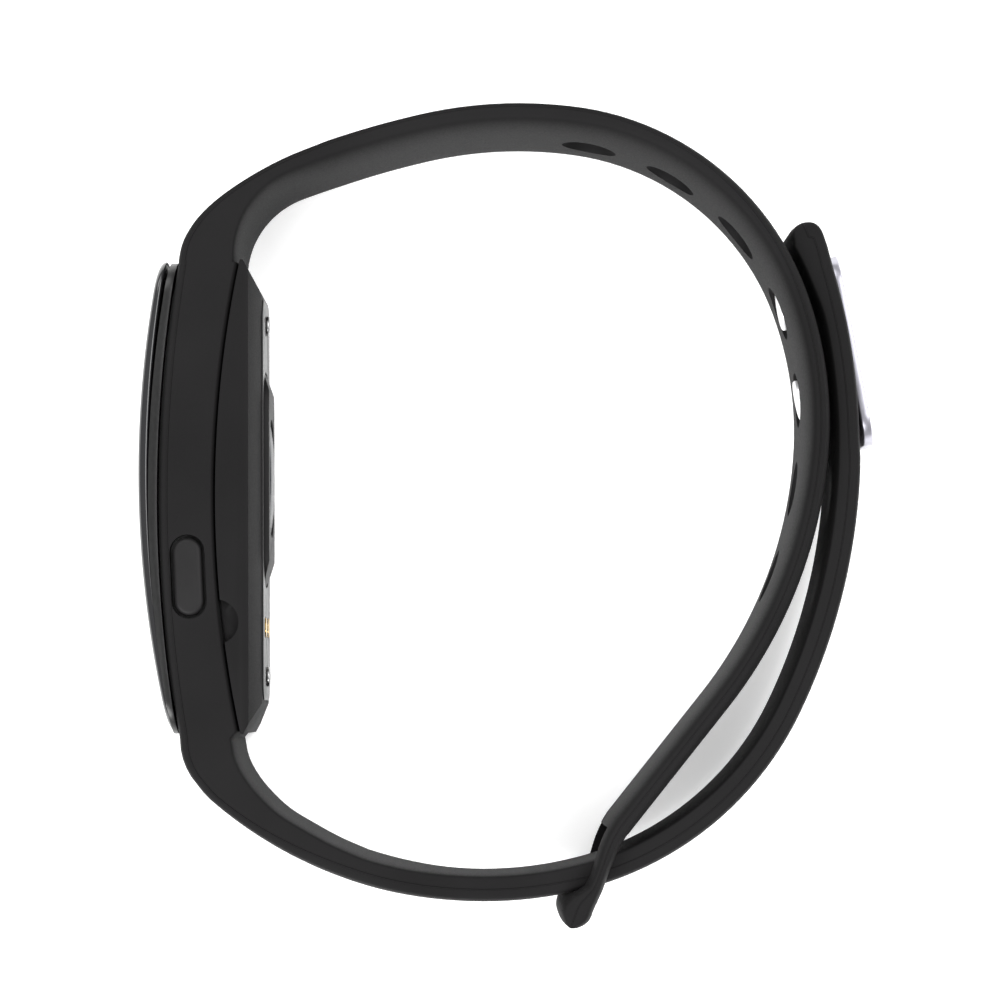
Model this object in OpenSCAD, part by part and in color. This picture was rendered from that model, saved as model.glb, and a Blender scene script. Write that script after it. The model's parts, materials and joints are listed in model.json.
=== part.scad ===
// Fitness tracker band, closed and lying on its side.
// X and Y lie in the plane of the loop, and Z runs across the strap's width.
// The module is on the left, its display facing -X, and the wearer's wrist passes through along Z.

/* [Band] */
// Width of the frame and of the strap with holes
band_w = 20; // [19:0.5:22]
// Width of the strap that passes through the loop
tail_w = 15.4; // [14:0.2:15.6]
// Thickness of both straps
strap_t = 2.6; // [2.2:0.1:2.8]
// Diameter of the holes along the strap
hole_d = 5; // [4.7:0.1:5.2]
// Distance between two holes, along the middle of the strap
hole_pitch = 9.17; // [8.8:0.05:9.3]
// Number of holes
hole_count = 7; // [5:1:8]

/* [Module] */
// Length of the module along the arm's girth
module_len = 45.4; // [44:0.2:46]
// How far the display side bulges over the module's length
front_bulge = 2.5; // [2:0.1:3.2]
// Lean of the module in the plane of the loop, in degrees
module_lean = 0.3; // [0:0.1:1]
// Thickness of the lens
lens_t = 1; // [0.8:0.1:1.2]

/* [Button] */
// Length of the side button
button_len = 7.4; // [6:0.2:8]
// Width of the side button
button_w = 2.7; // [2:0.1:3]
// Travel of the side button
button_travel = 0.4; // [0.2:0.05:0.4]

/* [Clasp] */
// Length of the clasp plate
plate_len = 18.9; // [17:0.1:20]
// Width of the clasp plate
plate_w = 11.6; // [10:0.2:13]
// Thickness of the clasp plate
plate_t = 1.1; // [0.9:0.1:1.3]
// Diameter of a peg's head
peg_head_d = 4; // [3.8:0.1:4.2]

/* [Hidden] */
$fn = 96;
eps = 0.02;        // gap between pieces of one body that touch
far = 60;          // reach of a cutting shape
mid_z = band_w / 2;
box_mid = [0.388, 0.194];       // middle of the whole band's outline

// ---------- the loop's two centrelines, as chains of tangent arcs ----------
// Each arc is [radius of the outer face, first angle, last angle]. An angle is the direction of
// the outward normal. The next arc's centre lies on the normal where the two arcs meet.

upper_start = [12, -48.65];
upper_arcs = [[90, 109, 103], [43, 103, 82], [27.4, 82, 20], [37, 20, -5], [46, -5, -38.5]];
lower_start = [-2.03, 2.95];
lower_arcs = [[40.15, -108, -76], [31.75, -76, -26], [60.15, -26, 22]];

function dir(a) = [cos(a), sin(a)];
function arc_centre(start, arcs, i) =
    i == 0 ? start
    : arc_centre(start, arcs, i - 1) + (arcs[i - 1][0] - arcs[i][0]) * dir(arcs[i][1]);
function upper_centre(i) = arc_centre(upper_start, upper_arcs, i);
function lower_centre(i) = arc_centre(lower_start, lower_arcs, i);
upper_centres = [for (i = [0:len(upper_arcs) - 1]) upper_centre(i)];
lower_centres = [for (i = [0:len(lower_arcs) - 1]) lower_centre(i)];
function along(a) = [-sin(a), cos(a)];
arc_step = 2.5;         // degrees between two points of an arc's outline
function arc_points(c, r, a0, a1, n) = [for (k = [0:n]) c + r * dir(a0 + (a1 - a0) * k / n)];

// Length of one upper arc along the middle of the strap, and the arc and angle at a length
function mid_length(i) =
    (upper_arcs[i][0] - strap_t / 2) * abs(upper_arcs[i][1] - upper_arcs[i][2]) * PI / 180;
function locate(s, i = 0) =
    s <= mid_length(i) || i == len(upper_arcs) - 1
    ? [i, upper_arcs[i][1] - s / (upper_arcs[i][0] - strap_t / 2) * 180 / PI]
    : locate(s - mid_length(i), i + 1);

// Straight run after the last upper arc, then the bend that leads into the loop
run_len = 15.2;
run_a = -38.5;
bend_r = 10;
bend_a = -20;
run_start = upper_centre(4) + 46 * dir(run_a);
run_end = run_start - run_len * along(run_a);
bend_c = run_end + bend_r * dir(run_a);
leg_start = bend_c - bend_r * dir(bend_a);
leg_len = 5.2;
bar_r = 1.7;
bar_c = [6.7, -38.05];
leg_t = 2.2;            // thickness of the loop's two legs
leg_w = (band_w - tail_w) / 2 - 0.25;

// Hinge line where the free end of the lower strap peels away
peel_c = lower_centre(2) + (lower_arcs[2][0] - strap_t / 2) * dir(-7);
knuckle_r = strap_t / 2;
// Tip of the free end
tip_r = 1.75;
tip_x = 29.55;
tip_y = 28.6;
lip_y = 23;
taper_x = [-13.5, -3.5];  // where the tail narrows
first_hole = 25.95;       // along the middle of the strap, from its root
window_len = 7.3;       // the loop's window, from the bend to the crossbar
window_gap = 0.3;

// Clasp plate: a straight bar whose outward normal points along plate_a
plate_a = 10.8;
plate_c = [34.35, 16.55];
peg_mid_shift = 0.9;    // the pegs' middle lies this far towards the tip
peg_gap = 9.1;
peg_shaft_d = 3.4;
peg_reach = 6.35;       // from the plate's outer face to the end of a head
head_h = 1.2;
plate_corner = 3;
plate_dome = 90;        // the plate's outer face is a cylinder of this radius

// Button: the cap's head stands on its stem above the chassis wall
cap_base = 18.85;
stem_end = 16.7;

// Display and skin-side pieces
display_len = 34;
display_w = 14.2;
display_t = 0.75;
skin_t = 0.14;
shell_inset = 0.3;
shell_bevel = [1.05, 4.7];  // the shell's long skin-side edges slope, [depth, distance in]
shell_roof = 3.8;       // inner face of the back shell
island_len = 21;
island_w = 9.2;
island_h = 0.66;
window_v = 11.6;
window_w = 6.6;

// ---------- module dimensions, in the module's own frame ----------
// u runs from the display side to the skin side, v along the module, and z across it.
module_c = [-28.8, 1.85];
half_len = module_len / 2;
lens_len = module_len + 0.2;
// The module's curved layers, each [u at the apex, radius, v at the apex]
lens_front = [-6.54, (half_len * half_len + front_bulge * front_bulge) / (2 * front_bulge), 0.5];
lens_back = [lens_front[0] + lens_t, 120, 0.5];
frame_front = [-4.65, 137, 0];
seam = [0.9, 109, 0];
back_u = 5.15;          // skin-side face of the back shell
cavity_v = 20.4;        // half length of the opening in the silicone frame
wall = 1.6;             // silicone wall beside the module
chassis_wall = 1;
board_u = -2.45;
board_t = 0.8;
battery_u = -1.1;
sensor_v = 2.2;
screw_v = 17.3;
contact_v = -12.5;
contact_z = [mid_z - 2, mid_z + 2];
button_u = -1.65;
button_v = -7.75;
button_lean = 2.5;
stem_len = 4.4;
stem_w = 1.2;
motor_v = -11.5;
motor_z = 7.6;
motor_u = -0.6;
motor_d = 8;
motor_h = 2.7;

module placed() translate([-box_mid.x, -box_mid.y, 0]) children();

module in_module() translate([module_c.x, module_c.y, 0]) rotate(module_lean) children();

module on_button(z) translate([button_u, button_v, z]) rotate(button_lean) children();
module at_button(z) in_module() on_button(z) children();

// ---------- shared shapes ----------

// Outline of a chain of tangent arcs, the strap's outer face and then its inner face
function chain_points(centres, arcs, inset) = [
    for (i = [0:len(arcs) - 1])
        let (n = ceil(abs(arcs[i][1] - arcs[i][2]) / arc_step))
            for (k = [(i == 0 ? 0 : 1):n])
                centres[i] + (arcs[i][0] - inset)
                    * dir(arcs[i][1] + (arcs[i][2] - arcs[i][1]) * k / n)];
function strap_point(c, arc, inset) = c + (arc[0] - inset) * dir(arc[1]);
function reversed(list) = [for (i = [len(list) - 1:-1:0]) list[i]];
module strap_outline(centres, arcs) polygon(concat(
    chain_points(centres, arcs, 0), reversed(chain_points(centres, arcs, strap_t))));

module slot(length, w, h) linear_extrude(h) {
    square([w, length - w], center = true);
    for (s = [-1, 1]) translate([0, s * (length - w) / 2]) circle(d = w);
}

module rounded_rect(size, r) {
    square([size.x - 2 * r, size.y], center = true);
    square([size.x, size.y - 2 * r], center = true);
    for (x = [-1, 1], y = [-1, 1])
        translate([x * (size.x / 2 - r), y * (size.y / 2 - r)]) circle(r);
}

// A block v_len long and z_w wide, centred at v_mid and mid_z, from u0 to u1
module block_u(u0, u1, v_mid, v_len, z_w, r, z_mid = mid_z) translate([u0, v_mid, z_mid])
    rotate([90, 0, 90]) linear_extrude(u1 - u0) rounded_rect([v_len, z_w], r);

module disc_u(u0, u1, v, z, d) translate([u0, v, z])
    rotate([0, 90, 0]) cylinder(d = d, h = u1 - u0);

// Everything on the skin side of a curved layer, and the space between two layers
module behind(layer) translate([layer[0] + layer[1], layer[2]]) circle(layer[1], $fn = 360);
module between(front, back) linear_extrude(band_w) difference() {
    behind(front);
    behind(back);
}
function shifted(layer, du) = [layer[0] + du, layer[1], layer[2]];

// ---------- silicone band ----------

module band_frame() color("#3b393b") placed() {
    limit = module_len + 0.5;
    difference() {
        linear_extrude(band_w) difference() {
            union() {
                // upper root, up to the first arc of the upper strap
                polygon(concat(
                    [[-36, 2], [-25.6, 2]],
                    arc_points([-17.82, 25.06], 8, 178, 109, 12),
                    [strap_point(upper_centre(0), upper_arcs[0], strap_t)],
                    [strap_point(upper_centre(0), upper_arcs[0], 0)],
                    arc_points([-4.93, 0.52], 38, 110, 129.8, 7),
                    arc_points([-24.92, 24.5], 6.78, 134, 178, 8),
                    [[-31.7, 24.7], [-36, 24.7]]));
                // lower root, up to the first arc of the lower strap
                polygon(concat(
                    [[-25.6, 2], [-36, 2], [-36, -20.9], [-31.37, -20.9]],
                    arc_points([-24.87, -21.5], 6.5, 180, 227, 8),
                    arc_points(lower_centre(0), lower_arcs[0][0], -132, -108, 6),
                    [strap_point(lower_centre(0), lower_arcs[0], strap_t)],
                    arc_points([-1.4, 4.1], 37.9, -112, -120, 3),
                    arc_points([-16.6, -20.2], 9.3, -123, -170, 8)));
            }
            // front edge and seam follow the module's curves
            translate(module_c) rotate(module_lean) {
                difference() {
                    translate([-far, -limit / 2]) square([far, limit]);
                    behind(frame_front);
                }
                intersection() {
                    translate([0, -limit / 2]) square([12, limit]);
                    behind(seam);
                }
            }
        }
        // opening for the module
        in_module() translate([-10, -cavity_v, wall]) cube([20, 2 * cavity_v, band_w - 2 * wall]);
        // recess round the button
        at_button(band_w - wall - 1) slot(button_len + 0.7, button_w + 0.7, wall + 2);
    }
}

module upper_strap() color("#3b393b") placed() difference() {
    union() {
        // arcs, the straight run, the bend and the loop's legs, outer face first
        linear_extrude(band_w) polygon(concat(
            chain_points(upper_centres, upper_arcs, 0),
            arc_points(bend_c, -bend_r, run_a, bend_a, 6),
            [leg_start - leg_len * along(bend_a),
                leg_start - leg_len * along(bend_a) - leg_t * dir(bend_a)],
            arc_points(bend_c, -bend_r - leg_t, bend_a, run_a, 6),
            reversed(chain_points(upper_centres, upper_arcs, strap_t))));
        translate([bar_c.x, bar_c.y, 0]) cylinder(r = bar_r, h = band_w);
    }
    for (k = [0:hole_count - 1]) {
        at = locate(first_hole + k * hole_pitch);
        c = upper_centre(at[0]);
        translate([c.x, c.y, mid_z]) rotate(at[1]) translate([upper_arcs[at[0]][0] - 6, 0, 0])
            rotate([0, 90, 0]) cylinder(d = hole_d, h = 12);
    }
    // window that the other strap passes through
    translate([run_end.x, run_end.y, leg_w]) rotate(bend_a)
        translate([-7, -window_len, 0])
            cube([14, window_len - window_gap, band_w - 2 * leg_w]);
}

module lower_strap() color("#3b393b") placed() {
    z0 = (band_w - tail_w) / 2;
    last = lower_arcs[2];
    stop_a = -7.3;
    difference() {
        // the first arc narrows from the frame's width to the tail's
        intersection() {
            linear_extrude(band_w) strap_outline(
                lower_centres, [lower_arcs[0], lower_arcs[1], [last[0], last[1], stop_a]]);
            translate([0, far, 0]) rotate([90, 0, 0]) linear_extrude(2 * far) polygon([
                [-far, 0], [taper_x[0], 0], [taper_x[1], z0], [far, z0],
                [far, band_w - z0], [taper_x[1], band_w - z0], [taper_x[0], band_w],
                [-far, band_w]]);
        }
        translate([peel_c.x, peel_c.y, 0]) cylinder(r = knuckle_r + 0.15, h = band_w);
    }
}

// The tail's free end: a rounded root at the peel line, and a thicker rounded tip
module strap_tongue() color("#3b393b") placed() {
    c = lower_centre(2);
    r = lower_arcs[2][0];
    over = upper_centre(2);
    difference() {
        translate([0, 0, (band_w - tail_w) / 2]) linear_extrude(tail_w) {
            translate(peel_c) circle(knuckle_r);
            difference() {
                intersection() {
                    translate(c) circle(r, $fn = 360);
                    polygon([
                        peel_c - 2 * dir(-7), peel_c + 4 * dir(-7), [40, 10],
                        [40, tip_y - tip_r], [22, tip_y - tip_r], [22, 10]]);
                }
                // inner face, and above it the lip that follows the other strap
                intersection() {
                    translate(c) circle(r - strap_t, $fn = 360);
                    translate([0, -far + lip_y]) square([far, far]);
                }
                intersection() {
                    translate(over) circle(upper_arcs[2][0] + 0.35, $fn = 180);
                    translate([0, lip_y - 1]) square([far, far]);
                }
            }
            translate([tip_x, tip_y - tip_r]) intersection() {
                circle(tip_r);
                translate([-tip_r, -0.5]) square(2 * tip_r);
            }
        }
        // pocket for the clasp plate, and holes for the pegs
        at_plate() plate_outline(0.03, 3);
        at_plate() for (s = [-1, 1]) peg_at(s)
            translate([0, 0, -8]) cylinder(d = peg_shaft_d + 0.06, h = 10);
    }
}

// ---------- clasp ----------
// In the plate's own frame z points out of the plate, x runs towards the tip, and the outer
// face lies at z = 0.

module at_plate() translate([plate_c.x, plate_c.y, mid_z])
    rotate(plate_a) rotate([0, 90, 0]) rotate([0, 0, 90]) children();

module peg_at(s) translate([peg_mid_shift + s * peg_gap / 2, 0, 0]) children();

module plate_outline(gap, above) translate([0, 0, -plate_t - gap])
    linear_extrude(plate_t + above)
        rounded_rect([plate_len + 2 * gap, plate_w + 2 * gap], plate_corner + gap);

module clasp_plate() color("#d6d4dc") placed() at_plate() difference() {
    intersection() {
        plate_outline(0, 0);
        // ends and sides of the outer face roll over
        translate([0, 0, -plate_dome]) rotate([0, 90, 0])
            cylinder(r = plate_dome, h = 2 * plate_len, center = true, $fn = 360);
    }
    for (s = [-1, 1]) peg_at(s) translate([0, 0, -plate_t - 1])
        cylinder(d = peg_shaft_d - 0.6, h = 1.5);
}

module clasp_pegs() color("#e0e0e4") placed() at_plate() for (s = [-1, 1]) peg_at(s) {
    translate([0, 0, -plate_t - 0.02 - (peg_reach - plate_t - 0.5)])
        cylinder(d = peg_shaft_d, h = peg_reach - plate_t - 0.5);
    translate([0, 0, -plate_t - 0.1]) cylinder(d = peg_shaft_d - 0.64, h = 0.5);
    translate([0, 0, -peg_reach]) cylinder(d = peg_head_d, h = head_h - 0.3);
    translate([0, 0, -peg_reach + head_h - 0.3])
        cylinder(d1 = peg_head_d, d2 = peg_shaft_d, h = 0.3);
}

// ---------- display side ----------

module front_lens() color("#1b1b1e") placed() in_module() intersection() {
    between(lens_front, lens_back);
    block_u(-8, 0, 0, lens_len, band_w - 1, 3.2);
}

module lens_gasket() color("#101012") placed() in_module() intersection() {
    between(shifted(lens_back, eps), shifted(lens_back, 0.15));
    difference() {
        block_u(-8, 0, 0, module_len - 3, band_w - 2.4, 2.4);
        block_u(-9, 1, 0, module_len - 8, band_w - 5, 1.4);
    }
}

module front_housing() color("#0c0c0e") placed() in_module() difference() {
    intersection() {
        between(shifted(lens_back, eps), shifted(frame_front, -0.03));
        block_u(-8, 0, 0, lens_len, band_w - 0.8, 3.2);
    }
    // seat of the gasket and window for the display
    intersection() {
        between(shifted(lens_back, -1), shifted(lens_back, 0.17));
        block_u(-8, 0, 0, module_len - 2.9, band_w - 2.3, 2.4);
    }
    block_u(-9, 1, 0, display_len + 0.4, display_w + 0.4, 0.7);
}

module display_panel() color("#06060a") placed() in_module() intersection() {
    between(shifted(lens_back, 0.03), shifted(lens_back, display_t));
    block_u(-8, 0, 0, display_len, display_w, 0.5);
}

module display_flex() color("#c07a28") placed() in_module() translate([0, -18.2, mid_z + 2.4]) {
    // one foot under the display, a web past the deck, one foot on the board
    translate([-3.45, 0, 0]) cube([0.12, 1.8, 4]);
    translate([-3.45, 0, 0]) cube([0.88, 0.15, 4]);
    translate([-2.6, 0, 0]) cube([0.12, 0.9, 4]);
}

// ---------- chassis and back ----------

module mid_frame() color("#2a2a2c") placed() in_module() {
    outer = [2 * cavity_v - 0.1, band_w - 2 * wall - 0.1];
    deck_u = -2.95;
    difference() {
        union() {
            difference() {
                intersection() {
                    between(shifted(frame_front, 0.05), shifted(seam, -0.05));
                    block_u(-8, 8, 0, outer.x, outer.y, 1);
                }
                block_u(-9, 9, 0, outer.x - 2 * chassis_wall, outer.y - 2 * chassis_wall, 0.6);
            }
            // deck between the display and the board
            translate([deck_u, -17.2, wall + 0.5])
                cube([0.4, 17.2 + cavity_v - 0.6, band_w - 2 * wall - 1]);
            // screw bosses
            for (v = [-screw_v, screw_v])
                disc_u(deck_u + 0.2, 2.2, v, mid_z, 2.8);
        }
        for (v = [-screw_v, screw_v]) disc_u(-1, 6, v, mid_z, 1);
        // opening for the button's stem and seal
        on_button(band_w - wall - chassis_wall - 0.5)
            slot(stem_len + 0.06, stem_w + 0.06, 2);
        on_button(band_w - wall - 0.55) slot(stem_len + 0.9, stem_w + 0.9, 2);
    }
}

module back_shell() color("#302e30") placed() in_module() difference() {
    intersection() {
        linear_extrude(band_w) intersection() {
            behind(shifted(seam, eps));
            polygon([
                [0, half_len], [3.6, half_len + 0.1], [back_u, half_len - 2.8],
                [back_u, 2.8 - half_len], [3.6, -half_len - 0.1], [0, -half_len]]);
        }
        // side walls stand just inside the silicone, and their skin-side edges are bevelled
        translate([0, far, 0]) rotate([90, 0, 0]) linear_extrude(2 * far) polygon([
            [0, shell_inset], [back_u - shell_bevel.x, shell_inset], [back_u, shell_bevel.y],
            [back_u, band_w - shell_bevel.y], [back_u - shell_bevel.x, band_w - shell_inset],
            [0, band_w - shell_inset]]);
    }
    difference() {
        block_u(0, shell_roof, 0, 2 * cavity_v - 2.2, band_w - 5, 1);
        for (v = [-screw_v, screw_v]) disc_u(2.25, 6, v, mid_z, 2.8);
    }
    // groove of the gasket
    intersection() {
        between(seam, shifted(seam, 0.45));
        gasket_ring(0.05);
    }
    for (v = [-screw_v, screw_v]) disc_u(1, 6, v, mid_z, 1.1);
    for (z = contact_z) disc_u(1, 6, contact_v, z, 1.5);
    block_u(1, 6, sensor_v, 11.4, 6.4, 1);
    // pry notch beside the seam
    translate([seam[0] + 0.1, -12.1, band_w - 1.1]) cylinder(r = 2.15, h = 2);
}

module gasket_ring(gap) difference() {
    block_u(0, 6, 0, 39.8 + gap, 17 + gap, 1.2);
    block_u(-1, 7, 0, 39 - gap, 16.2 - gap, 0.8);
}

module shell_gasket() color("#55555a") placed() in_module() intersection() {
    between(shifted(seam, eps), shifted(seam, 0.42));
    gasket_ring(0);
}

module skin_plate() color("#8f8e93") placed() in_module() difference() {
    block_u(back_u + eps, back_u + skin_t, 0, module_len - 6.2, 10.4, 2);
    block_u(0, 9, sensor_v - 0.15, island_len + 0.2, island_w + 0.2, 4);
    for (v = [-screw_v, screw_v]) disc_u(0, 9, v, mid_z, 1.1);
    for (z = contact_z) disc_u(0, 9, contact_v, z, 2.2);
}

module back_screws() color("#d8d8dc") placed() in_module()
    for (v = [-screw_v, screw_v]) difference() {
        union() {
            disc_u(-0.6, back_u + skin_t + eps, v, mid_z, 0.94);
            disc_u(back_u + skin_t + eps, back_u + skin_t + 0.32, v, mid_z, 2);
        }
        disc_u(back_u + skin_t + 0.15, 9, v, mid_z, 0.9);
    }

module charging_contacts() color("#d9b45a") placed() in_module() for (z = contact_z) {
    disc_u(3, back_u + 0.05, contact_v, z, 1.46);
    disc_u(back_u + 0.05, back_u + skin_t + 0.1, contact_v, z, 1.9);
}

// ---------- heart-rate sensor ----------

module sensor_island() color("#404042") placed() in_module() difference() {
    intersection() {
        block_u(back_u + eps, 7, sensor_v - 0.15, island_len, island_w, 4);
        linear_extrude(band_w) polygon([
            [back_u, 12.6], [back_u + island_h, 10.6], [back_u + island_h, -6],
            [back_u, -8.4]]);
    }
    block_u(0, 9, sensor_v, window_v + 0.06, window_w + 0.06, 3);
}

module sensor_window() color("#2c3038") placed() in_module() intersection() {
    block_u(back_u + eps, 7, sensor_v, window_v, window_w, 3);
    translate([back_u + island_h + 0.1 - 50, sensor_v, 0]) cylinder(r = 50, h = band_w, $fn = 720);
}

module sensor_board() color("#1d5a34") placed() in_module()
    block_u(2.9, 3.4, sensor_v, 14, 9, 1);

module sensor_leds() color("#7ddf8a") placed() in_module() for (s = [-1, 1])
    block_u(3.4 + eps, 4.3, sensor_v + s * 3.6, 1.8, 1.8, 0.2);

module sensor_photodiode() color("#1a1a22") placed() in_module()
    block_u(3.4 + eps, 4, sensor_v, 2.4, 2.4, 0.2);

module light_baffle() color("#0a0a0a") placed() in_module() for (s = [-1, 1])
    block_u(3.4 + eps, back_u - 0.05, sensor_v + s * 2, 0.5, 5.6, 0.2);

// ---------- electronics ----------

module main_board() color("#1d5a34") placed() in_module() difference() {
    block_u(board_u, board_u + board_t, 0, 38.4, 14, 1);
    translate([-4, button_v - 2.6, band_w - 5.4]) cube([4, 5.2, 4]);
    for (v = [-screw_v, screw_v]) disc_u(-4, 0, v, mid_z, 3);
}

module board_chips() color("#161618") placed() in_module() {
    u0 = board_u + board_t + eps;
    block_u(u0, u0 + 0.8, -5.85, 3, 3.6, 0.1, mid_z - 2);
    block_u(u0, u0 + 0.6, -17.6, 2.6, 2, 0.1, mid_z - 4.6);
    block_u(u0, u0 + 0.5, 17.4, 2, 2.4, 0.1, mid_z + 4.4);
}

module shield_can() color("#b8b8bc") placed() in_module()
    block_u(board_u + board_t + eps, board_u + board_t + 0.95, motor_v, 7.2, 9, 0.4);

module battery() color("#8d9096") placed() in_module()
    block_u(battery_u, battery_u + 3.6, 5.6, 19.6, 12.6, 1);

module battery_pad() color("#f0f0ea") placed() in_module()
    block_u(board_u + board_t + eps, battery_u - eps, 5.6, 16, 10, 0.6);

module antenna() color("#c8963c") placed() in_module()
    translate([-1.2, 18.95, 4]) cube([3.2, 0.25, band_w - 8]);

module motor_can() color("#c4c4c8") placed() in_module() difference() {
    disc_u(motor_u, motor_u + motor_h, motor_v, motor_z, motor_d);
    disc_u(motor_u + 0.3, motor_u + motor_h - 0.3, motor_v, motor_z, motor_d - 0.6);
}

// Half disc of dense metal that turns inside the can
module motor_rotor() color("#77777c") placed() in_module() intersection() {
    disc_u(motor_u + 0.5, motor_u + motor_h - 0.5, motor_v, motor_z, motor_d - 1.2);
    translate([-far, motor_v - 10, motor_z - 10]) cube([2 * far, 10.8, 20]);
}

// ---------- button ----------

module button_cap() color("#454446") placed() {
    at_button(cap_base) slot(button_len, button_w, band_w - cap_base);
    at_button(stem_end) slot(stem_len, stem_w, cap_base - stem_end + 0.01);
}

module button_seal() color("#1c1c1e") placed() difference() {
    at_button(band_w - wall - 0.5) slot(stem_len + 0.84, stem_w + 0.84, 0.4);
    at_button(band_w - wall - 0.8) slot(stem_len + 0.06, stem_w + 0.06, 2);
}

module button_switch() color("#a8a8ac") placed() in_module() {
    top = stem_end - button_travel - 0.05;
    translate([button_u, button_v, 0]) {
        translate([-0.75, -2, top - 1.2]) cube([1.5, 4, 0.9]);
        translate([0, 0, top - 0.3]) cylinder(d = 1.3, h = 0.3);
    }
}

band_frame();
upper_strap();
lower_strap();
strap_tongue();
clasp_plate();
clasp_pegs();
front_lens();
lens_gasket();
front_housing();
display_panel();
display_flex();
mid_frame();
back_shell();
skin_plate();
sensor_island();
sensor_window();
sensor_board();
sensor_leds();
sensor_photodiode();
light_baffle();
charging_contacts();
back_screws();
shell_gasket();
main_board();
board_chips();
shield_can();
battery();
battery_pad();
motor_can();
motor_rotor();
antenna();
button_cap();
button_seal();
button_switch();
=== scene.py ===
"""Fitness tracker band: the visual model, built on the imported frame."""
import json
import math

import bmesh
import bpy
from mathutils import Matrix, Vector


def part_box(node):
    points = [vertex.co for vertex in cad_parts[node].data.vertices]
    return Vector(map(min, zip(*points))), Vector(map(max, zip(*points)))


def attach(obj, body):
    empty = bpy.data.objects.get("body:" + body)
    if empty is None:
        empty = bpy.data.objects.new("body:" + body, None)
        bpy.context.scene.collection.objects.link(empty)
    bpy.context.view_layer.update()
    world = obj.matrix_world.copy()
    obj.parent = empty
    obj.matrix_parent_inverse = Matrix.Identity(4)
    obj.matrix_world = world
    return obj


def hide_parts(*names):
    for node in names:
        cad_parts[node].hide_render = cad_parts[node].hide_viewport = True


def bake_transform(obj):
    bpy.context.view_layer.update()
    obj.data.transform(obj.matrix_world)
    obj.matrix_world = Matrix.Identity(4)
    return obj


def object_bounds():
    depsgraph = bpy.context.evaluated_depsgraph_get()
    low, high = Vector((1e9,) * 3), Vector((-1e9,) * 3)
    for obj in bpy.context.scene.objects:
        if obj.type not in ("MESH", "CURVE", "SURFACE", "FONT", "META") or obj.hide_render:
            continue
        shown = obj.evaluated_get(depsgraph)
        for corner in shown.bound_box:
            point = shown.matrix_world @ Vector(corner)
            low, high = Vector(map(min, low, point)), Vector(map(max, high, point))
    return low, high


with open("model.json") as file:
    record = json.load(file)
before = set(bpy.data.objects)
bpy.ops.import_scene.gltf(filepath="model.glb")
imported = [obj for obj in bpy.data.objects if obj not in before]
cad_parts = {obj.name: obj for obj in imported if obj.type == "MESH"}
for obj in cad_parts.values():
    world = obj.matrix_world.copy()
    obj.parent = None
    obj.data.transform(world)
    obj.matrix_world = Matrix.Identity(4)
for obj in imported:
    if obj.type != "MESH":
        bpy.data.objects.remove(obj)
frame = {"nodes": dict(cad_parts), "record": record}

MM = 0.001
cad_lo, cad_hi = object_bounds()
BAND_W = cad_hi.z / MM
MID = BAND_W / 2
tongue_lo, tongue_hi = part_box("strap_tongue")
TAIL_W = (tongue_hi.z - tongue_lo.z) / MM

# Outlines below are in the design's own millimetres. SHIFT takes them to the shared frame.
SHIFT = Vector((-0.388, -0.194))
STRAP_T = 2.6                       # thickness of both straps
LEG_T = 2.2                         # thickness of the loop's legs
MODULE_C = Vector((-28.8, 1.85))    # middle of the module, which leans a little
LEAN = math.radians(0.3)
STEP = 1.3                          # longest gap between cross-sections along a strap


def at(x, y, z):
    return Vector(((x + SHIFT.x) * MM, (y + SHIFT.y) * MM, z * MM))


def unit(deg):
    return Vector((math.cos(math.radians(deg)), math.sin(math.radians(deg))))


def in_module(u, v):
    """u points from the lens to the wrist, v runs up along the module."""
    c, s = math.cos(LEAN), math.sin(LEAN)
    return MODULE_C + Vector((u * c - v * s, u * s + v * c))


# ---------------------------------------------------------------- materials

def ramp(nt, fac, stops):
    node = nt.nodes.new("ShaderNodeValToRGB")
    els = node.color_ramp.elements
    while len(els) < len(stops):
        els.new(0.5)
    for el, (pos, col) in zip(els, stops):
        el.position = pos
        el.color = (*col, 1)
    nt.links.new(fac, node.inputs["Fac"])
    return node.outputs["Color"]


def noise(nt, coord, scale, detail, rough, stretch=None):
    if stretch:
        mp = nt.nodes.new("ShaderNodeMapping")
        mp.inputs["Scale"].default_value = stretch
        nt.links.new(coord, mp.inputs["Vector"])
        coord = mp.outputs["Vector"]
    n = nt.nodes.new("ShaderNodeTexNoise")
    n.inputs["Scale"].default_value = scale
    n.inputs["Detail"].default_value = detail
    n.inputs["Roughness"].default_value = rough
    nt.links.new(coord, n.inputs["Vector"])
    return n.outputs["Fac"]


def to_range(nt, value, lo, hi):
    """The middle of a noise's range spread over lo to hi."""
    r = nt.nodes.new("ShaderNodeMapRange")
    r.inputs["From Min"].default_value = 0.3
    r.inputs["From Max"].default_value = 0.7
    r.inputs["To Min"].default_value = lo
    r.inputs["To Max"].default_value = hi
    nt.links.new(value, r.inputs["Value"])
    return r.outputs["Result"]


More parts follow.
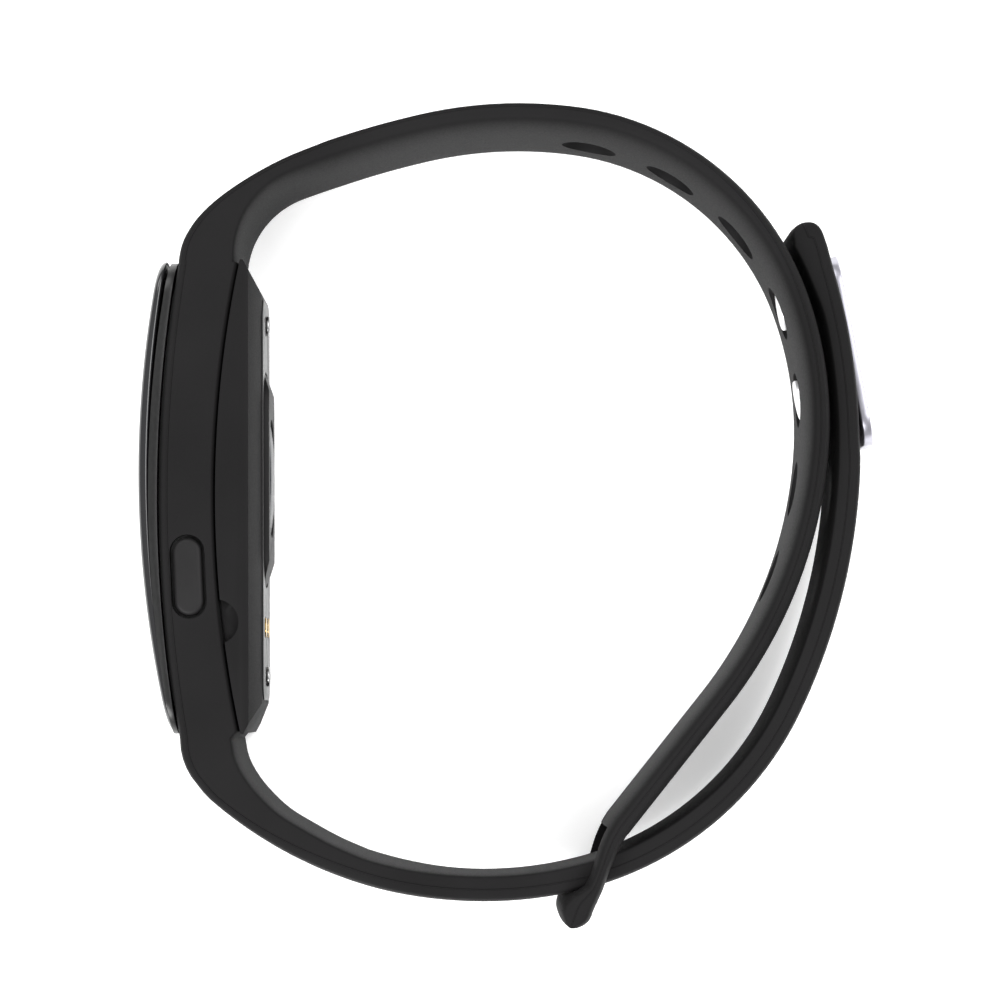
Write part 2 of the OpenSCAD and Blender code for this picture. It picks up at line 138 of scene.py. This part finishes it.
def material(name, dark, light, rough, patch, grain, metal=0.0, spec=0.5, coat=0.0, sheen=0.0,
             bump=0.1, depth=0.00002, stretch=None):
    """Base colour drifts between dark and light; grain drives roughness and bump."""
    m = bpy.data.materials.new(name)
    m.use_nodes = True
    nt = m.node_tree
    b = nt.nodes["Principled BSDF"]
    coord = nt.nodes.new("ShaderNodeTexCoord").outputs["Object"]
    b.inputs["Metallic"].default_value = metal
    b.inputs["Specular IOR Level"].default_value = spec
    b.inputs["Coat Weight"].default_value = coat
    b.inputs["Coat Roughness"].default_value = 0.08
    b.inputs["Sheen Weight"].default_value = sheen
    b.inputs["Sheen Roughness"].default_value = 0.5
    large = noise(nt, coord, patch, 4, 0.55)
    fine = noise(nt, coord, grain, 2, 0.6, stretch)
    nt.links.new(ramp(nt, large, [(0.32, dark), (0.68, light)]), b.inputs["Base Color"])
    nt.links.new(to_range(nt, fine, *rough), b.inputs["Roughness"])
    bp = nt.nodes.new("ShaderNodeBump")
    bp.inputs["Strength"].default_value = bump
    bp.inputs["Distance"].default_value = depth
    nt.links.new(fine, bp.inputs["Height"])
    nt.links.new(bp.outputs["Normal"], b.inputs["Normal"])
    return m


def grey(v, tint=(1, 1, 1)):
    return tuple(v * t for t in tint)


COOL = (1.0, 0.97, 1.0)
LOOKS = {
    "band_silicone": dict(dark=grey(0.0072, COOL), light=grey(0.0098, COOL), rough=(0.6, 0.72),
                          spec=0.06, sheen=0.005, patch=45, grain=5200, bump=0.22,
                          depth=0.00003),
    "clasp_metal": dict(dark=(0.34, 0.335, 0.38), light=(0.40, 0.395, 0.44), rough=(0.28, 0.38),
                        metal=0.9, patch=90, grain=2600, depth=0.00001, stretch=(1, 0.06, 1)),
    "peg_metal": dict(dark=(0.78, 0.78, 0.79), light=(0.86, 0.86, 0.87), rough=(0.3, 0.42),
                      metal=0.6, patch=200, grain=4000, depth=0.00001),
    "lens_glass": dict(dark=(0.010, 0.010, 0.011), light=(0.014, 0.014, 0.015),
                       rough=(0.05, 0.08), spec=0.4, coat=0.4, patch=40, grain=900, bump=0.02,
                       depth=0.00001),
    "housing_black": dict(dark=grey(0.004), light=grey(0.006), rough=(0.3, 0.4), spec=0.4,
                          patch=80, grain=4000),
    "display_glass": dict(dark=(0.002, 0.002, 0.003), light=(0.004, 0.004, 0.006),
                          rough=(0.06, 0.1), coat=0.5, patch=80, grain=3000, bump=0.02),
    "shell_plastic": dict(dark=grey(0.0068, COOL), light=grey(0.0085, COOL), rough=(0.5, 0.6),
                          spec=0.06, patch=60, grain=7000, bump=0.18),
    "skin_metal": dict(dark=grey(0.03), light=grey(0.04), rough=(0.3, 0.4), spec=0.25, coat=0.1,
                       patch=120, grain=2600, bump=0.05, depth=0.00001),
    "island_plastic": dict(dark=grey(0.011, COOL), light=grey(0.014, COOL), rough=(0.45, 0.55),
                           spec=0.15, patch=90, grain=6500, bump=0.16),
    "sensor_glass": dict(dark=(0.010, 0.012, 0.016), light=(0.014, 0.016, 0.021),
                         rough=(0.25, 0.32), spec=0.12, patch=90, grain=2600, bump=0.02),
    "button_plastic": dict(dark=grey(0.010, COOL), light=grey(0.0125, COOL), rough=(0.48, 0.58),
                           spec=0.12, patch=200, grain=7000, bump=0.15),
    "screw_steel": dict(dark=grey(0.36), light=grey(0.46), rough=(0.22, 0.34), metal=1.0,
                        patch=400, grain=6000, bump=0.12, depth=0.00001, stretch=(1, 0.1, 1)),
    "contact_gold": dict(dark=(0.72, 0.46, 0.14), light=(0.83, 0.56, 0.20), rough=(0.18, 0.28),
                         metal=1.0, patch=500, grain=6000, depth=0.00001),
    "seal_rubber": dict(dark=grey(0.009), light=grey(0.014), rough=(0.6, 0.75), patch=120,
                        grain=6000, bump=0.2),
    "chassis_plastic": dict(dark=grey(0.02), light=grey(0.03), rough=(0.5, 0.62), patch=90,
                            grain=6000, bump=0.25),
    "board_green": dict(dark=(0.008, 0.07, 0.02), light=(0.014, 0.11, 0.035), rough=(0.3, 0.42),
                        coat=0.3, patch=700, grain=3500, bump=0.15),
    "chip_black": dict(dark=grey(0.006), light=grey(0.010), rough=(0.45, 0.6), patch=400,
                       grain=8000, bump=0.2),
    "led_clear": dict(dark=(0.22, 0.66, 0.26), light=(0.30, 0.80, 0.34), rough=(0.1, 0.2),
                      coat=0.6, patch=900, grain=5000, bump=0.05),
    "battery_foil": dict(dark=grey(0.28), light=grey(0.36), rough=(0.3, 0.48), metal=0.8,
                         patch=150, grain=1800, bump=0.35, depth=0.00004),
    "pad_foam": dict(dark=grey(0.68), light=grey(0.80), rough=(0.8, 0.9), patch=300, grain=7000,
                     bump=0.5, depth=0.00005),
    "flex_copper": dict(dark=(0.50, 0.20, 0.05), light=(0.64, 0.29, 0.08), rough=(0.28, 0.4),
                        metal=0.7, patch=500, grain=3000, bump=0.15),
    "rotor_metal": dict(dark=grey(0.15), light=grey(0.22), rough=(0.4, 0.55), metal=0.9,
                        patch=500, grain=6000, bump=0.3),
}
MATS = {name: material(name, **look) for name, look in LOOKS.items()}

slot_of = {s["node"]: s["material_slot"] for s in frame["record"]["subparts"]}
for node, obj in frame["nodes"].items():
    obj.data.materials.clear()
    obj.data.materials.append(MATS[slot_of[node]])


# ---------------------------------------------------------------- mesh helpers

def new_object(name, bm, slot, body, nodes, sharp=40):
    """A piece that stands for CAD nodes. With no body, it is left unattached."""
    mesh = bpy.data.meshes.new(name)
    bmesh.ops.recalc_face_normals(bm, faces=bm.faces)
    bm.to_mesh(mesh)
    bm.free()
    obj = bpy.data.objects.new(name, mesh)
    bpy.context.scene.collection.objects.link(obj)
    mesh.materials.append(MATS[slot])
    mesh.shade_smooth()
    mesh.set_sharp_from_angle(angle=math.radians(sharp))
    if body:
        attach(obj, body)
    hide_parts(*nodes)
    return obj


def bake(obj, sharp):
    """Apply every modifier of obj to its mesh."""
    bpy.context.view_layer.update()
    dg = bpy.context.evaluated_depsgraph_get()
    mesh = bpy.data.meshes.new_from_object(obj.evaluated_get(dg))
    obj.modifiers.clear()
    obj.data = mesh
    mesh.shade_smooth()
    mesh.set_sharp_from_angle(angle=math.radians(sharp))


def cut(obj, cutters):
    """Boolean difference with temporary cutter meshes."""
    made = []
    for bm in cutters:
        bmesh.ops.recalc_face_normals(bm, faces=bm.faces)
        mesh = bpy.data.meshes.new("cutter")
        bm.to_mesh(mesh)
        bm.free()
        c = bpy.data.objects.new("cutter", mesh)
        bpy.context.scene.collection.objects.link(c)
        made.append(c)
        mod = obj.modifiers.new("cut", "BOOLEAN")
        mod.operation = "DIFFERENCE"
        mod.solver = "EXACT"
        mod.object = c
    bake(obj, sharp=42)
    for c in made:
        mesh = c.data
        bpy.data.objects.remove(c)
        bpy.data.meshes.remove(mesh)


def loft(rings, cap=True):
    """Closed rings of equal length joined into a tube, its ends capped with one face each."""
    bm = bmesh.new()
    rows = [[bm.verts.new(p) for p in ring] for ring in rings]
    n = len(rows[0])
    for a, b in zip(rows, rows[1:]):
        for i in range(n):
            bm.faces.new((a[i], a[(i + 1) % n], b[(i + 1) % n], b[i]))
    if cap:
        bm.faces.new(rows[0][::-1])
        bm.faces.new(rows[-1])
    return bm


def softened(node, name, width, segments, angle=30, body="root"):
    """The CAD node's shape with its flat faces merged and its convex edges rounded."""
    src = frame["nodes"][node]
    bm = bmesh.new()
    bm.from_mesh(src.data)
    bmesh.ops.remove_doubles(bm, verts=bm.verts, dist=1e-7)
    bmesh.ops.dissolve_limit(bm, angle_limit=math.radians(0.4), verts=bm.verts, edges=bm.edges)
    weight = bm.edges.layers.float.new("bevel_weight_edge")
    for e in bm.edges:
        if e.is_manifold and e.is_convex and e.calc_face_angle(0) > math.radians(angle):
            e[weight] = 1.0
    obj = new_object(name, bm, slot_of[node], body, [node])
    mod = obj.modifiers.new("edge", "BEVEL")
    mod.width = width * MM
    mod.segments = segments
    mod.limit_method = "WEIGHT"
    bake(obj, sharp=40)


def smooth_path(points, n):
    """Catmull-Rom curve through 2D points, as n even steps."""
    pts = [Vector(p) for p in points]
    pts = [2 * pts[0] - pts[1]] + pts + [2 * pts[-1] - pts[-2]]
    fine = 24
    dense = []
    for i in range(1, len(pts) - 2):
        p0, p1, p2, p3 = pts[i - 1:i + 3]
        for k in range(fine):
            t = k / fine
            dense.append(0.5 * ((2 * p1) + (p2 - p0) * t + (2 * p0 - 5 * p1 + 4 * p2 - p3) * t * t
                                + (3 * p1 - p0 - 3 * p2 + p3) * t ** 3))
    dense.append(pts[-2])
    return resample(dense, n)


def resample(pts, n):
    """The polyline as n even steps."""
    lengths = [0.0]
    for a, b in zip(pts, pts[1:]):
        lengths.append(lengths[-1] + (b - a).length)
    out, j = [], 0
    for k in range(n + 1):
        s = lengths[-1] * k / n
        while j < len(pts) - 2 and lengths[j + 1] < s:
            j += 1
        f = (s - lengths[j]) / max(1e-9, lengths[j + 1] - lengths[j])
        out.append(pts[j].lerp(pts[j + 1], f))
    return out


def lerp(a, b, t):
    return a + (b - a) * t


def ease(t):
    t = min(1.0, max(0.0, t))
    return t * t * (3 - 2 * t)


def table(pairs, x):
    """Piecewise linear value from (x, y) pairs sorted by x."""
    if x <= pairs[0][0]:
        return pairs[0][1]
    for (x0, y0), (x1, y1) in zip(pairs, pairs[1:]):
        if x <= x1:
            return lerp(y0, y1, (x - x0) / (x1 - x0))
    return pairs[-1][1]


def centres(start, arcs):
    """(centre, radius, first angle, last angle) of each arc in a tangent chain."""
    c = Vector(start)
    for k, (r, a0, a1) in enumerate(arcs):
        if k:
            c = c + (arcs[k - 1][0] - r) * unit(a0)
        yield c, r, a0, a1


def chain(start, arcs):
    """(outer point, normal angle) along a chain of tangent arcs."""
    out = []
    for c, r, a0, a1 in centres(start, arcs):
        n = max(2, math.ceil(abs(a1 - a0) * math.pi / 180 * r / STEP))
        for j in range(1 if out else 0, n + 1):
            a = lerp(a0, a1, j / n)
            out.append((c + r * unit(a), a))
    return out


# ---------------------------------------------------------------- silicone

FLASH = 0.075                           # how far the parting ridge stands out
RIDGE_FOOT, RIDGE_TOP = 0.07, 0.025     # half widths of the ridge
RIDGE_ROOM = 0.09                       # least distance from the ridge to a rounded corner
CORNER = [0, 14, 26, 37, 47, 56, 64, 71, 77, 82, 86.5, 90]     # steps round a rounded corner


def half_section(t, ro, ri, pd, h, n, m):
    """(depth, distance from the middle) from the outer face round to the inner face."""
    a = h - FLASH
    pts = []
    for deg in CORNER:
        r = math.radians(deg)
        pts.append((ro - ro * max(0.0, math.cos(r)) ** (2 / n), a * math.sin(r) ** (2 / n)))
    pts += [(pd - RIDGE_FOOT, a), (pd - RIDGE_TOP, h), (pd + RIDGE_TOP, h), (pd + RIDGE_FOOT, a)]
    for deg in reversed(CORNER):
        r = math.radians(deg)
        pts.append((t - ri + ri * max(0.0, math.cos(r)) ** (2 / m), a * math.sin(r) ** (2 / m)))
    return pts


def ring(o, i, h, ro, ri, pd, n=3.0, m=3.0):
    """One cross-section, from outer point o to inner point i in the plane of the loop.

    h is the half width, ro and ri the depth of the rounding at the outer and the inner face,
    pd the depth of the parting ridge, n and m how square the roundings are.
    """
    o, i = Vector(o), Vector(i)
    t = (i - o).length
    d = (i - o) / t
    scale = min(1.0, t / (ro + ri + 0.2))
    ro, ri = ro * scale, ri * scale
    pd = min(max(pd, ro + RIDGE_ROOM * scale), t - ri - RIDGE_ROOM * scale)
    half = half_section(t, ro, ri, pd, h, n, m)
    pts = [(dd, MID + s) for dd, s in half] + [(dd, MID - s) for dd, s in reversed(half[1:-1])]
    return [at(o.x + d.x * dd, o.y + d.y * dd, zz) for dd, zz in pts]


# Outer faces of the straps: (radius, first angle, last angle) of tangent arcs
UPPER_START, LOW_C = (12, -48.65), Vector((-2.03, 2.95))
UPPER = [(90, 109, 103), (43, 103, 82), (27.4, 82, 20), (37, 20, -5), (46, -5, -38.5)]
ROOT_A = UPPER[0][1]
TAIL_END = 19.7
LOWER = [(40.15, -108, -76), (31.75, -76, -26), (60.15, -26, TAIL_END)]
# Depth of the upper strap's parting ridge against the normal's angle
PD_UPPER = [(-38.5, 1.3), (20, 1.2), (50, 0.95), (80, 0.66), (95, 0.6), (109, 0.6)]

# The loop: a straight run, a bend, two legs with a window between them, and a crossbar
RUN_A, RUN_LEN = UPPER[-1][2], 15.2
LEG_A, BEND_R = -20.0, 10
LEG_W = 2.05                            # width of a leg
WINDOW_0, WINDOW_1 = 0.3, 7.35          # the window's ends, beyond the straight run
BAR_S, BAR_D, BAR_R = 5.65, 2.0, 1.7    # crossbar: distance along the legs, depth, radius
SWELL_0, SWELL_1 = 2.6, BAR_S - 0.3     # where the legs swell into the crossbar


def upper_section(a):
    pd = table(PD_UPPER, a)
    return dict(ro=max(0.5, pd - 0.1), ri=min(1.35, STRAP_T - pd - 0.1), pd=pd)


upper_path = chain(UPPER_START, UPPER)
rings = [ring(p, p - STRAP_T * unit(a), MID, **upper_section(a)) for p, a in upper_path]
run_start = upper_path[-1][0]
along = unit(RUN_A + 90)
for k in range(1, 11):
    p = run_start - RUN_LEN * along * k / 10
    rings.append(ring(p, p - STRAP_T * unit(RUN_A), MID, 1.15, 1.2, 1.3))
run_end = run_start - RUN_LEN * along
bend_c = run_end + BEND_R * unit(RUN_A)
for k in range(1, 6):
    f = k / 5
    a = lerp(RUN_A, LEG_A, f)
    p = bend_c - BEND_R * unit(a)
    t = lerp(STRAP_T, LEG_T, f)
    rings.append(ring(p, p - t * unit(a), MID, lerp(1.15, 0.95, f), lerp(1.2, 1.0, f), t / 2))
leg_start = bend_c - BEND_R * unit(LEG_A)
leg_n, leg_d = unit(LEG_A), unit(LEG_A - 90)
for k in range(1, 8):
    s = SWELL_1 * k / 7
    f = ease((s - SWELL_0) / (SWELL_1 - SWELL_0))
    d0, d1 = lerp(0, BAR_D - BAR_R + 0.02, f), lerp(LEG_T, BAR_D + BAR_R - 0.02, f)
    square = lerp(2.6, 4, f)
    p = leg_start + leg_d * s
    rings.append(ring(p - leg_n * d0, p - leg_n * d1, MID, lerp(0.95, 1.1, f),
                      lerp(1.0, 1.1, f), (d1 - d0) / 2, n=square, m=square))
for deg in (0, 12, 24, 36, 48, 58, 67, 75, 81, 86):
    r = math.radians(deg)
    hw = BAR_R * math.cos(r)
    p = leg_start + leg_d * (BAR_S + BAR_R * math.sin(r))
    rings.append(ring(p - leg_n * (BAR_D - hw), p - leg_n * (BAR_D + hw),
                      MID - 0.4 * (1 - math.cos(r)), 1.1, 1.1, hw, n=4, m=4))
upper = new_object("strap_with_holes", loft(rings), "band_silicone", "root", ["upper_strap"])

HOLE_FIRST, HOLE_PITCH, HOLE_COUNT = 25.95, 9.17, 7
# (depth, radius) of a hole's cutter, flared where it leaves the inner face
HOLE_PROFILE = [(3.0, 2.5), (-2.05, 2.5), (-2.35, 2.577), (-2.62, 2.72), (-5.0, 2.72)]
HOLE_SIDES = 48


def hole_cutter(centre, normal):
    """A round cutter along the normal, at a point of the outer face."""
    side = Vector((-normal.y, normal.x))
    rows = []
    for depth, r in HOLE_PROFILE:
        rows.append([])
        for k in range(HOLE_SIDES):
            w = math.radians(360 / HOLE_SIDES * k)
            q = centre + normal * depth + side * r * math.cos(w)
            rows[-1].append(at(q.x, q.y, MID + r * math.sin(w)))
    return loft(rows)


def prism(points, z0, z1):
    """Straight prism over a 2D outline in design millimetres."""
    return loft([[at(p[0], p[1], z) for p in points] for z in (z0, z1)])


def hole_place(s):
    """(outer point, normal) at a length along the middle of the upper strap."""
    for c, r, a0, a1 in centres(UPPER_START, UPPER):
        mid_r = r - STRAP_T / 2
        length = mid_r * math.radians(abs(a1 - a0))
        if s <= length:
            normal = unit(a0 - math.degrees(s / mid_r))
            return c + r * normal, normal
        s -= length


cutters = [hole_cutter(*hole_place(HOLE_FIRST + HOLE_PITCH * k)) for k in range(HOLE_COUNT)]
w0, w1 = (run_end - unit(LEG_A + 90) * w for w in (WINDOW_0, WINDOW_1))
reach = leg_n * 7
cutters.append(prism([w0 - reach, w0 + reach, w1 + reach, w1 - reach], LEG_W, BAND_W - LEG_W))
cut(upper, cutters)

# The frame round the module, from the upper strap's root to the lower strap's: outer and inner
# edge of its two roots, and between them two arcs that bow along the module
N_TOP, N_MOD, N_LOW = 30, 40, 24
FRONT_U, FRONT_R = -4.65, 137
SEAM_U, SEAM_R = 0.9, 109
top_out = smooth_path([upper_path[0][0], (-20.95, 34.98), (-23.65, 33.6), (-26.25, 31.98),
                       (-28.4, 30.35), (-29.98, 28.75), (-31.02, 27.15), (-31.5, 25.95),
                       (-31.72, 24.75)], N_TOP)
top_in = [Vector((-17.82, 25.06)) + 8.1 * unit(a) for a in range(109, 179, 6)]
top_in = smooth_path([upper_path[0][0] - STRAP_T * unit(ROOT_A)] + top_in + [(-25.95, 24.4)],
                     N_TOP)
low_out = [Vector((-24.87, -21.5)) + 6.5 * unit(a) for a in range(180, 228, 4)]
low_out += [p for p, a in chain(LOW_C, [(LOWER[0][0], -132, LOWER[0][1])])]
low_out = resample(low_out, N_LOW)
low_in = smooth_path([(-26.0, -21.4), (-25.5, -23.6), (-24.05, -25.95), (-21.65, -28.35),
                      (-18.9, -30.05), (-16.3, -31.45), LOW_C + 37.4 * unit(LOWER[0][1])], N_LOW)
mod_out, mod_in = [], []
for k in range(N_MOD + 1):
    v = lerp(22.5, -22.6, k / N_MOD)
    mod_out.append(in_module(FRONT_U + v * v / (2 * FRONT_R), v))
    mod_in.append(in_module(SEAM_U + v * v / (2 * SEAM_R), v))
rings = []
for k, (o, i) in enumerate(zip(top_out, top_in)):
    f = ease(k / (N_TOP + 1) * 1.15)
    rings.append(ring(o, i, MID, lerp(0.5, 0.8, f), lerp(1.35, 0.75, f), 0.62 + 0.25 * f,
                      n=lerp(3, 4, f), m=lerp(3, 5, f)))
for o, i in zip(mod_out, mod_in):
    rings.append(ring(o, i, MID, 0.8, 0.75, 0.95, n=4, m=5))
for k, (o, i) in enumerate(zip(low_out, low_in)):
    f = ease(k / (N_LOW + 1))
    rings.append(ring(o, i, MID, lerp(0.8, 0.95, f), lerp(0.75, 0.6, f), lerp(0.95, 1.3, f),
                      n=4, m=5))
holder = new_object("module_frame", loft(rings), "band_silicone", "root", ["band_frame"])


def slot_outline(u0, v0, length, width, lean_deg):
    """Stadium outline round (u0, v0) in the module's frame."""
    pts = []
    r, half, n = width / 2, (length - width) / 2, 10
    for a0, end in ((0, half), (math.pi, -half)):
        for k in range(n + 1):
            a = a0 + math.pi * k / n
            pts.append((r * math.cos(a), end + r * math.sin(a)))
    s, c = math.sin(math.radians(lean_deg)), math.cos(math.radians(lean_deg))
    return [in_module(u0 + x * c - y * s, v0 + x * s + y * c) for x, y in pts]


RIM_W = 1.6                             # silicone left at both sides of the module
cavity = [in_module(u, v) for u, v in ((-10, -20.4), (10, -20.4), (10, 20.4), (-10, 20.4))]
recess = slot_outline(u0=-1.65, v0=-7.75, length=8.1, width=3.4, lean_deg=2.5)
cut(holder, [prism(cavity, RIM_W, BAND_W - RIM_W), prism(recess, BAND_W - 3, BAND_W + 2)])

# The tail: lower strap and its free end in one piece across the peel line. It
# narrows past the root, thickens towards the tip to lie against the upper strap, and has a
# shallow seat for the clasp plate.
UPPER_C, UPPER_R = Vector((3.6, 12.6)), 27.4    # the upper strap's third arc
CLEAR = 0.35                            # gap between the tail's inner face and the upper strap
LIE_Y = 19                              # from here upwards the tail's inner face follows it
SEAT, SEAT_LO, SEAT_HI = 0.14, 5, 27    # the seat's depth and its ends
tail = chain(LOW_C, LOWER)
rings = []
for p, a in tail:
    inner = p - (STRAP_T + 0.15 * ease((a + 150) / 42) * ease((-20 - a) / 50)) * unit(a)
    if p.y > LIE_Y:
        near = UPPER_C + (UPPER_R + CLEAR) * (inner - UPPER_C).normalized()
        inner = inner.lerp(near, ease((p.y - LIE_Y) / 4.5))
    outer = p - SEAT * ease((p.y - SEAT_LO) / 3) * ease((SEAT_HI - p.y) / 3) * unit(a)
    f = ease((p.x + 13.5) / 10)
    rings.append(ring(outer, inner, lerp(MID, TAIL_W / 2, f), lerp(0.95, 0.85, f), 0.6, 1.3,
                      n=4, m=5))
TIP_T, TIP_LEN = 3.5, 1.8               # thickness and length of the rounded tip
tip_n, tip_d = unit(TAIL_END), unit(TAIL_END + 90)
tip_mid = tail[-1][0] - tip_n * TIP_T / 2
for deg in (4, 14, 26, 38, 49, 59, 68, 76, 82, 87):
    r = math.radians(deg)
    c = tip_mid + tip_d * TIP_LEN * math.sin(r) ** 0.8
    hw = TIP_T / 2 * math.cos(r) ** 0.72
    rings.append(ring(c + tip_n * hw, c - tip_n * hw, TAIL_W / 2 - 1.2 * (1 - math.cos(r)),
                      0.85, 0.7, hw, n=4, m=4))
lower = new_object("strap_tail", loft(rings), "band_silicone", None,
                   ["lower_strap", "strap_tongue"])
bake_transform(lower)

# ---------------------------------------------------------------- hard pieces

softened("back_shell", "rear_shell", 0.3, 3, angle=8)
softened("sensor_island", "sensor_bump", 0.3, 3)
softened("sensor_window", "sensor_pane", 0.12, 2)
softened("skin_plate", "rear_rim", 0.05, 2)
softened("back_screws", "rear_screws", 0.08, 2)
softened("clasp_plate", "clasp_bar", 0.25, 3, body="tongue")
softened("clasp_pegs", "clasp_studs", 0.2, 3, body="tongue")
softened("button_cap", "side_button", 0.4, 4, body="button")
softened("front_housing", "lens_carrier", 0.08, 2)


def lens_mesh():
    """Curved cover with rolled edges, built from closed loops that shrink towards the middle."""
    half_v, half_z, corner, roll = 22.8, 9.5, 3.2, 0.75
    v0 = 1.5                            # the curves' apex is nearer the upper end
    front_u, front_r, back_u, back_r = -6.54, 104.31, -5.54, 120
    tilt, lift = 0.006, 0.2
    long_n, short_n = 40, 14            # steps along the straight sides

    def outline(inset):
        hv, hz, r = half_v - inset, half_z - inset, max(0.3, corner - inset)
        arcs = []
        for sv, sz, a0 in ((1, 1, 0), (-1, 1, 90), (-1, -1, 180), (1, -1, 270)):
            arcs.append([((hv - r) * sv + r * math.cos(math.radians(a0 + 15 * k)),
                          (hz - r) * sz + r * math.sin(math.radians(a0 + 15 * k)))
                         for k in range(7)])
        out = []
        for i, n in enumerate((long_n, short_n, long_n, short_n)):
            out += arcs[i]
            (v1, z1), (v2, z2) = arcs[i][-1], arcs[(i + 1) % 4][0]
            out += [(lerp(v1, v2, j / n), lerp(z1, z2, j / n)) for j in range(1, n)]
        return out

    def front(v):
        return front_u + (v - v0) ** 2 / (2 * front_r)

    def back(v):
        return back_u + (v - v0) ** 2 / (2 * back_r)

    def between(v, f):
        return lerp(back(v), front(v), f)

    loops = [[(back(v), v, z) for v, z in outline(0.25)],
             [(between(v, 0.1), v, z) for v, z in outline(0.06)]]
    for deg in (0, 12, 25, 38, 50, 62, 74, 90):
        r = math.radians(deg)
        loops.append([(lerp(between(v, 0.25), front(v), math.sin(r)), v, z)
                      for v, z in outline(roll * (1 - math.cos(r)))])
    for inset in (1.2, 2.0, 3.2, 4.8, 6.6, 8.6):
        loops.append([(front(v), v, z) for v, z in outline(inset)])
    bm = loft([[at(*in_module(u - tilt * v, v + lift), MID + z) for u, v, z in row]
               for row in loops], cap=False)
    # The caps join each point to the one across the lens, so that they keep the curve
    bm.verts.ensure_lookup_table()
    n = len(loops[0])
    last = n // 2 - short_n             # the last point before the first short side
    for base in (0, n * (len(loops) - 1)):
        for k in range(last):
            face = [k, k + 1, n - short_n - 1 - k, n - short_n - k]
            if k == 0:
                face += range(n - short_n + 1, n)
            elif k == last - 1:
                face[2:2] = range(last + 1, last + short_n)
            bm.faces.new([bm.verts[base + i] for i in face])
    return bm


new_object("front_cover", lens_mesh(), "lens_glass", "root", ["front_lens"], sharp=60)

# ---------------------------------------------------------------- stage, light and camera

floor_mesh = bpy.data.meshes.new("floor")
floor_mesh.from_pydata([(-3, -3, 0), (3, -3, 0), (3, 3, 0), (-3, 3, 0)], [], [(0, 1, 2, 3)])
floor = bpy.data.objects.new("floor", floor_mesh)
floor.location.z = -0.0002
bpy.context.scene.collection.objects.link(floor)
fm = bpy.data.materials.new("floor")
fm.use_nodes = True
for key, value in (("Base Color", (0.93, 0.93, 0.93, 1)), ("Roughness", 0.9),
                   ("Specular IOR Level", 0.1), ("Emission Color", (1, 1, 1, 1)),
                   ("Emission Strength", 0.36)):
    fm.node_tree.nodes["Principled BSDF"].inputs[key].default_value = value
floor_mesh.materials.append(fm)


def area(name, loc, size, power):
    """A rectangular light that points at the band."""
    data = bpy.data.lights.new(name, "AREA")
    data.shape = "RECTANGLE"
    data.size, data.size_y = size
    data.energy = power
    o = bpy.data.objects.new(name, data)
    o.location = loc
    target = Vector((0, 0, 0.01))
    o.rotation_euler = (target - Vector(loc)).to_track_quat("-Z", "Y").to_euler()
    bpy.context.scene.collection.objects.link(o)


area("key", (-0.3, -0.5, 0.55), (0.7, 0.4), 10)
area("fill", (0.45, 0.2, 0.6), (0.6, 0.6), 6)
area("rear", (-0.3, 0.5, 0.5), (0.6, 0.4), 3)

world = bpy.data.worlds.new("studio")
world.use_nodes = True
world.node_tree.nodes["Background"].inputs["Color"].default_value = (1, 1, 1, 1)
world.node_tree.nodes["Background"].inputs["Strength"].default_value = 0.55
bpy.context.scene.world = world
bpy.context.scene.view_settings.view_transform = "Standard"
bpy.context.scene.view_settings.look = "None"

# The eye stands high above the band's upper rim, over a point low and left of its middle
RIM, EYE_H = 19.0, 345
PX_PER_MM, PX = 10.4, 1000              # scale at the rim, and the picture's width
SENSOR = 36
eye = at(-1.97, -17.74, RIM + EYE_H)
aim = at(-0.53, 1.49, RIM)
look = (aim - eye).normalized()
right = look.cross(Vector((0, 1, 0))).normalized()
up = right.cross(look)
cam_data = bpy.data.cameras.new("camera")
cam_data.sensor_width = SENSOR
cam_data.lens = SENSOR * PX_PER_MM * (aim - eye).length / MM / PX
cam_data.clip_start, cam_data.clip_end = 0.01, 20
camera = bpy.data.objects.new("camera", cam_data)
camera.matrix_world = Matrix.Translation(eye) @ Matrix((right, up, -look)).transposed().to_4x4()
bpy.context.scene.collection.objects.link(camera)
bpy.context.scene.camera = camera
